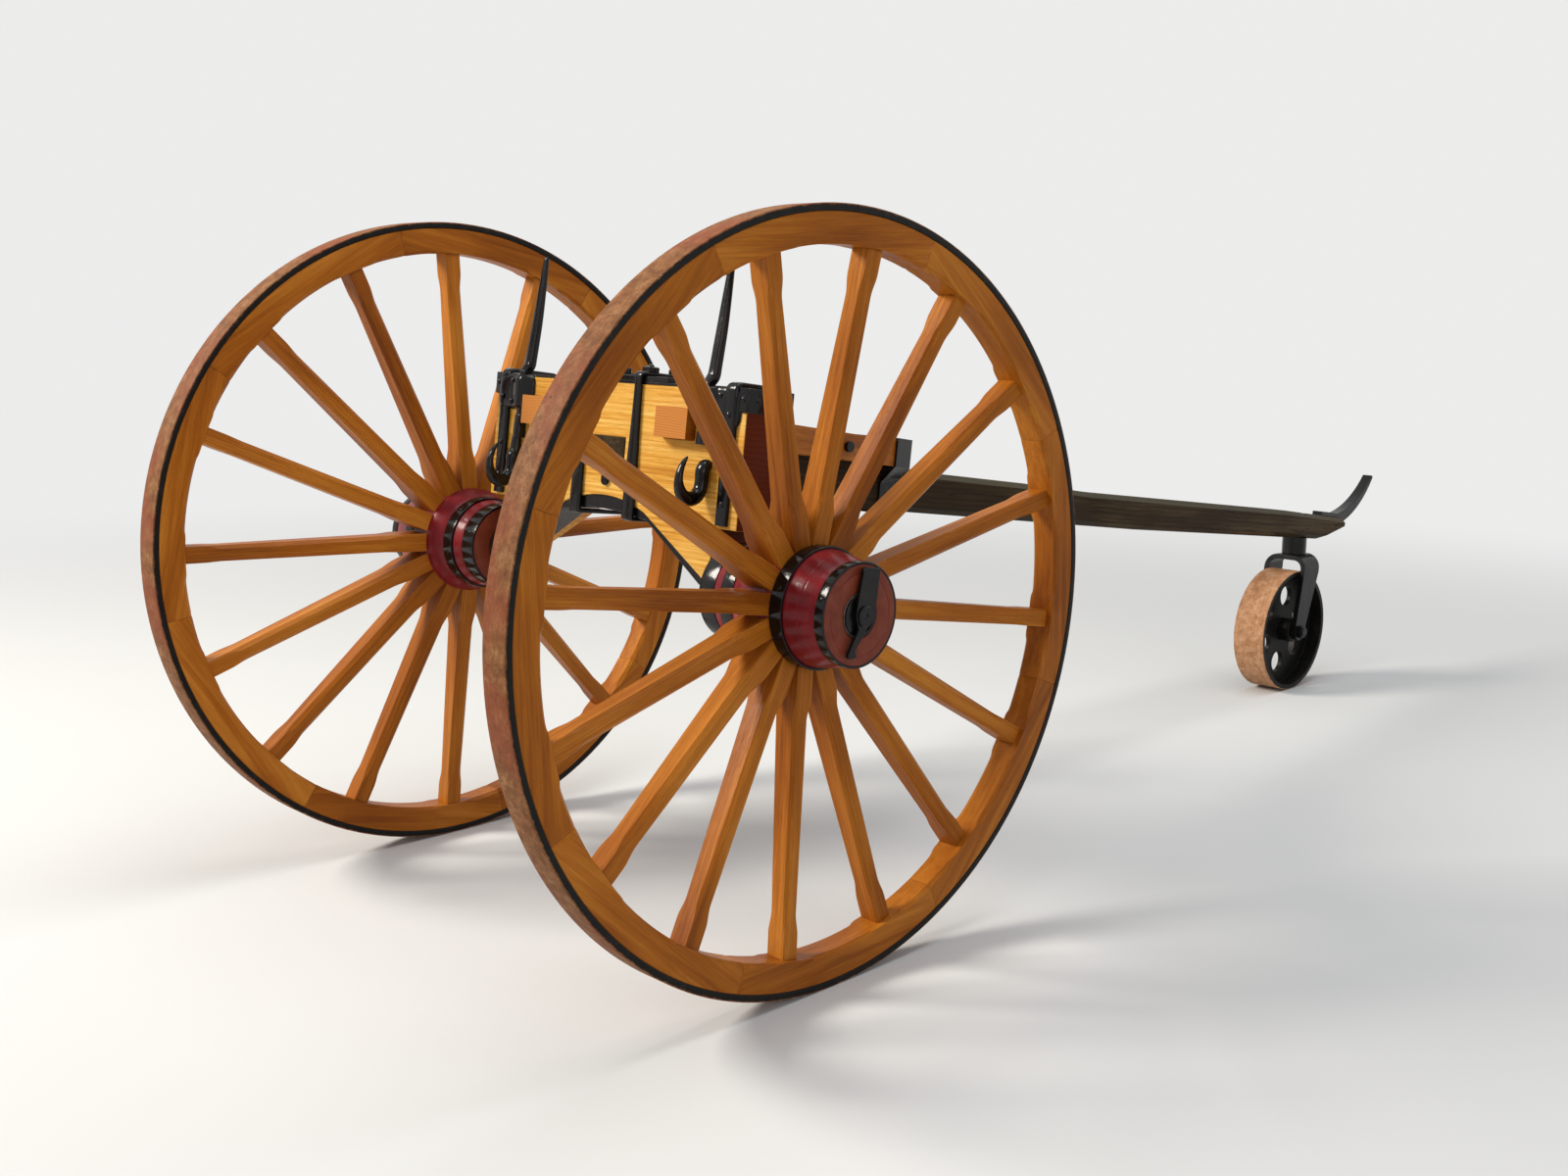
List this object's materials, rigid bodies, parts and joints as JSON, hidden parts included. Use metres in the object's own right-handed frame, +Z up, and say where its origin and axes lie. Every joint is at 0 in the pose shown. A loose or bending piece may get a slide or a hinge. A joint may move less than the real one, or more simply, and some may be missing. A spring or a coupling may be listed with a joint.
{
  "type": "two-wheeled timber carriage",
  "caption": "High two-wheeled timber carriage: arched axle block on spoked wheels, with a long drag pole whose nose rests on a castor.",
  "frame": {"origin": "on the ground, midway between the two large wheels, under the middle of the axle", "axes": "+X forward along the pole towards its nose, +Y to the left-hand (far) wheel, +Z up; the axle runs along Y"},
  "size_m": [5.2252, 1.878, 1.85],
  "materials": {
    "timber_varnished": "varnished orange-brown oak",
    "timber_dark": "old dark grey-brown timber, oiled",
    "crimson_paint": "glossy crimson paint on turned wood",
    "black_iron": "wrought iron painted glossy black",
    "tyre_iron": "iron hoop, worn and rusty on the tread",
    "castor_iron": "cast iron, rusty tread and dark web"
  },
  "bodies": {
    "carriage": {"axle_block": "timber_varnished", "crank_axle": "black_iron", "top_plate": "black_iron", "bridge_plate": "black_iron", "pole_straps": "black_iron", "near_end_iron": "black_iron", "far_end_iron": "black_iron", "near_stake": "black_iron", "far_stake": "black_iron", "near_chain_hook": "black_iron", "far_chain_hook": "black_iron", "tail_tongue": "black_iron", "arms": "timber_varnished", "arm_bolt": "black_iron", "arm_band": "black_iron", "pole": "timber_dark", "nose_hook": "black_iron", "castor_socket": "black_iron", "near_linchpin": "black_iron", "far_linchpin": "black_iron"},
    "near_wheel": {"near_tyre": "tyre_iron", "near_felloes": "timber_varnished", "near_spokes": "timber_varnished", "near_nave": "crimson_paint", "near_nave_bands": "black_iron", "near_axle_box": "black_iron"},
    "far_wheel": {"far_tyre": "tyre_iron", "far_felloes": "timber_varnished", "far_spokes": "timber_varnished", "far_nave": "crimson_paint", "far_nave_bands": "black_iron", "far_axle_box": "black_iron"},
    "castor_swivel": {"castor_fork": "black_iron", "castor_axle": "black_iron"},
    "castor_roller": {"castor_wheel": "castor_iron"}
  },
  "joints": [
    {"name": "near_wheel_spin", "type": "hinge", "parent": "carriage", "child": "near_wheel", "pos_m": [0, -0.805, 0.925], "axis": [0, 1, 0], "continuous": true},
    {"name": "far_wheel_spin", "type": "hinge", "parent": "carriage", "child": "far_wheel", "pos_m": [0, 0.805, 0.925], "axis": [0, 1, 0], "continuous": true},
    {"name": "castor_turn", "type": "hinge", "parent": "carriage", "child": "castor_swivel", "pos_m": [3.669, 0, 0.568], "axis": [0, 0, 1], "continuous": true},
    {"name": "castor_spin", "type": "hinge", "parent": "castor_swivel", "child": "castor_roller", "pos_m": [3.585, 0, 0.253], "axis": [0, 1, 0], "continuous": true}
  ]
}
